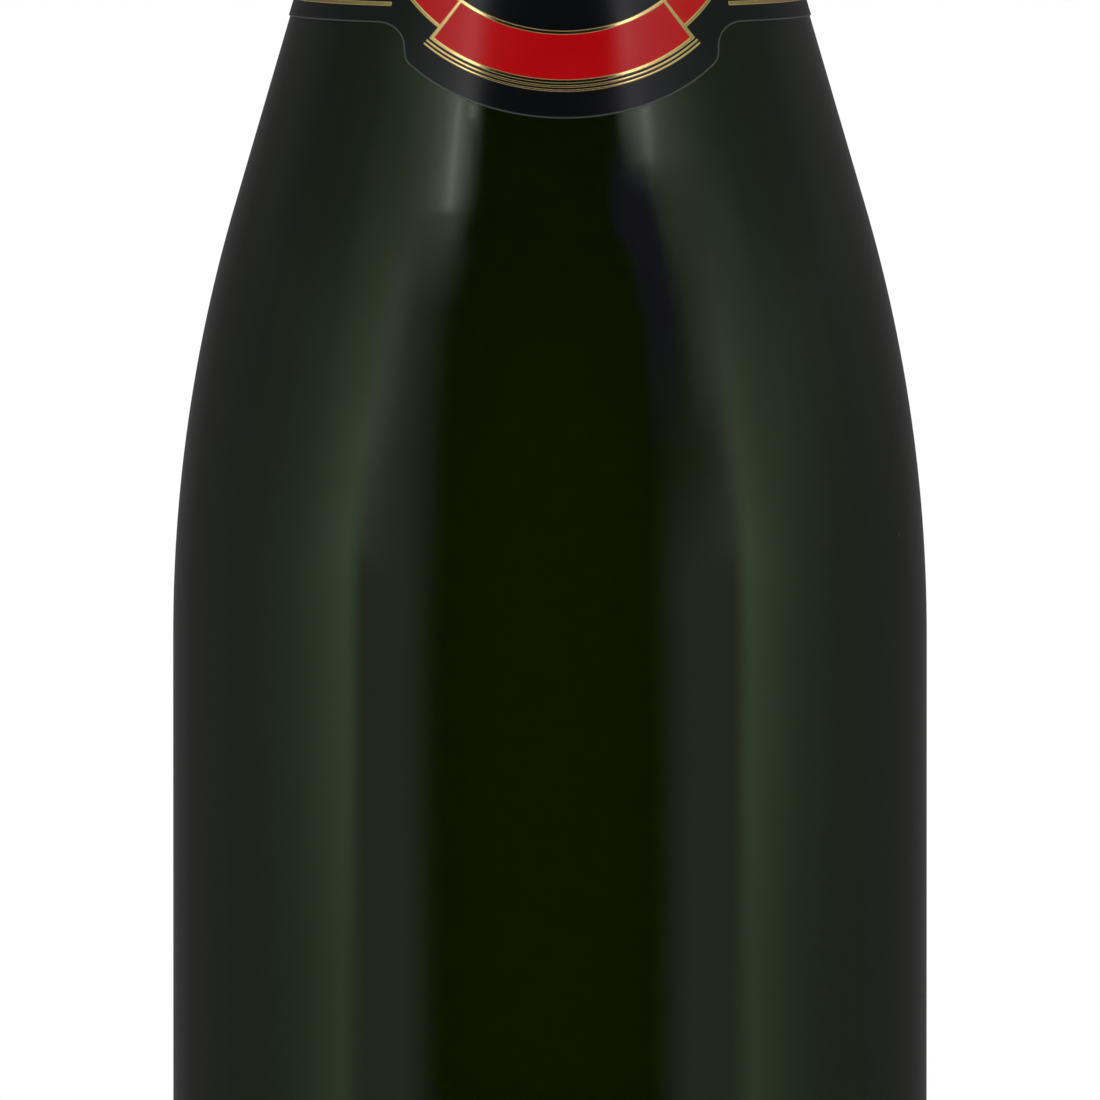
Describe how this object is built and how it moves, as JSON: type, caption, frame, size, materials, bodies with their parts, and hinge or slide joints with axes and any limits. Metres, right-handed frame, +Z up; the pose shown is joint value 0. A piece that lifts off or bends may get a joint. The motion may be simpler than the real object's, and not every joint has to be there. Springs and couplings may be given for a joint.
{
  "type": "champagne bottle",
  "caption": "Sealed dark green champagne bottle with punt, wine, mushroom cork in a wire cage that lifts off, foil hood, black and gold neck label and body labels.",
  "frame": {"origin": "centre of the bearing ring under the base, on the surface the bottle stands on", "axes": "+Z up along the bottle's axis of revolution; the front and neck labels face -Y; the cage's handle is at +X"},
  "size_m": [0.0888, 0.0892, 0.3243],
  "materials": {
    "dark_glass": "gloss",
    "wine": "gloss",
    "cork_agglomerate": "matte",
    "cork_natural": "matte",
    "cage_steel": "polished",
    "plaque_lacquer": "gloss",
    "black_foil": "satin",
    "gold_foil": "satin",
    "label_paper": "satin"
  },
  "bodies": {
    "bottle": {"glass_bottle": "dark_glass", "wine": "wine", "foil_sleeve": "black_foil", "tear_band": "gold_foil", "neck_label": "label_paper", "front_label": "label_paper", "back_label": "label_paper"},
    "cork": {"cork_body": "cork_agglomerate", "cork_disc_upper": "cork_natural", "cork_disc_lower": "cork_natural"},
    "cage": {"cap_plaque": "plaque_lacquer", "belt_wire": "cage_steel", "cage_wire_1": "cage_steel", "cage_wire_2": "cage_steel", "cage_wire_3": "cage_steel", "cage_wire_4": "cage_steel"},
    "handle": {"twist_handle": "cage_steel"},
    "hood": {"foil_hood": "black_foil", "foil_top_disc": "gold_foil"},
    "tab": {"tear_tab": "gold_foil"}
  },
  "joints": [
    {"name": "cork_pull", "type": "slide", "parent": "bottle", "child": "cork", "axis": [0, 0, 1], "range_m": [0, 0.06], "deforming": ["belt_wire", "cage_wire_1", "cage_wire_2", "cage_wire_3", "cage_wire_4"]},
    {"name": "cage_lift", "type": "slide", "parent": "cork", "child": "cage", "axis": [0, 0, 1], "range_m": [0, 0.055], "deforming": ["belt_wire", "cage_wire_1", "cage_wire_2", "cage_wire_3", "cage_wire_4"]},
    {"name": "handle_fold", "type": "hinge", "parent": "cage", "child": "handle", "pos_m": [0.01928, 0, 0.2793], "axis": [0, 1, 0], "range_deg": [0, 120]},
    {"name": "hood_lift", "type": "slide", "parent": "cage", "child": "hood", "axis": [0, 0, 1], "range_m": [0, 0.06]},
    {"name": "tab_peel", "type": "hinge", "parent": "bottle", "child": "tab", "pos_m": [0.01684, -0.00613, 0.2731], "axis": [0, 0, 1], "range_deg": [0, 120]}
  ]
}
